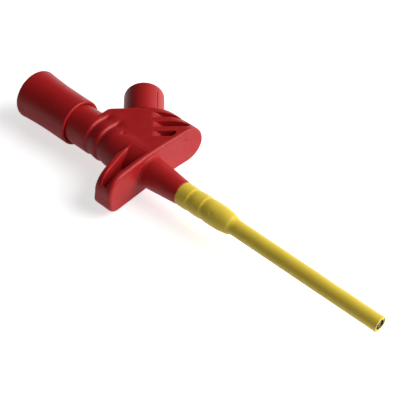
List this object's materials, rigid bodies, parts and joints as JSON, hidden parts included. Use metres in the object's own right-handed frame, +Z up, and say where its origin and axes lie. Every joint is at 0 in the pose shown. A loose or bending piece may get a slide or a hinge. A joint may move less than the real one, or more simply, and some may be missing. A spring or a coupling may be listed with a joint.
{
  "type": "test hook clip",
  "caption": "Test hook clip with a thumb plunger, a finger guard, an angled safety socket and a slim insulated shaft from which sprung jaws open.",
  "frame": {"origin": "bottom centre of the bounding box, with the clip lying flat and its guard level", "axes": "+X along the clip's axis from the thumb plunger towards the jaws, +Y along the finger guard towards the socket side, +Z up"},
  "size_m": [0.1354, 0.0438, 0.0163],
  "materials": {
    "red_plastic": "satin moulded",
    "yellow_plastic": "satin moulded",
    "white_plastic": "natural",
    "nickel_plate": "nickel plated",
    "brass": "turned",
    "spring_bronze": "rolled",
    "steel": "drawn",
    "spring_steel": "blued"
  },
  "bodies": {
    "handle": {"grip_body": "red_plastic", "socket_collar": "red_plastic", "socket_insulator": "red_plastic", "socket_contact": "nickel_plate", "contact_block": "brass", "wiper_ring": "spring_bronze", "spring_seat": "white_plastic", "guide_tube": "steel", "insulating_sleeve": "yellow_plastic", "return_spring": "spring_steel"},
    "plunger": {"plunger_cap": "red_plastic", "rod_insert": "brass", "push_rod": "steel", "retaining_clip": "spring_steel", "jaw_ferrule": "steel"},
    "upper_jaw": {"upper_jaw": "spring_steel"},
    "lower_jaw": {"lower_jaw": "spring_steel"}
  },
  "joints": [
    {"name": "plunger_slide", "type": "slide", "parent": "handle", "child": "plunger", "axis": [1, 0, 0], "range_m": [0, 0.006], "stiffness_N_per_m": 400, "springref_m": -0.008, "deforming": ["return_spring"]},
    {"name": "upper_jaw_spread", "type": "hinge", "parent": "plunger", "child": "upper_jaw", "pos_m": [0.05439, -0.00468, 0.0086], "axis": [0, -1, 0], "range_deg": [0, 7]},
    {"name": "lower_jaw_spread", "type": "hinge", "parent": "plunger", "child": "lower_jaw", "pos_m": [0.05439, -0.00468, 0.0077], "axis": [0, 1, 0], "range_deg": [0, 7]}
  ],
  "couplings": [
    {"joint": "upper_jaw_spread", "follows": "plunger_slide", "rad_per_m": 20.36},
    {"joint": "lower_jaw_spread", "follows": "plunger_slide", "rad_per_m": 20.36}
  ]
}
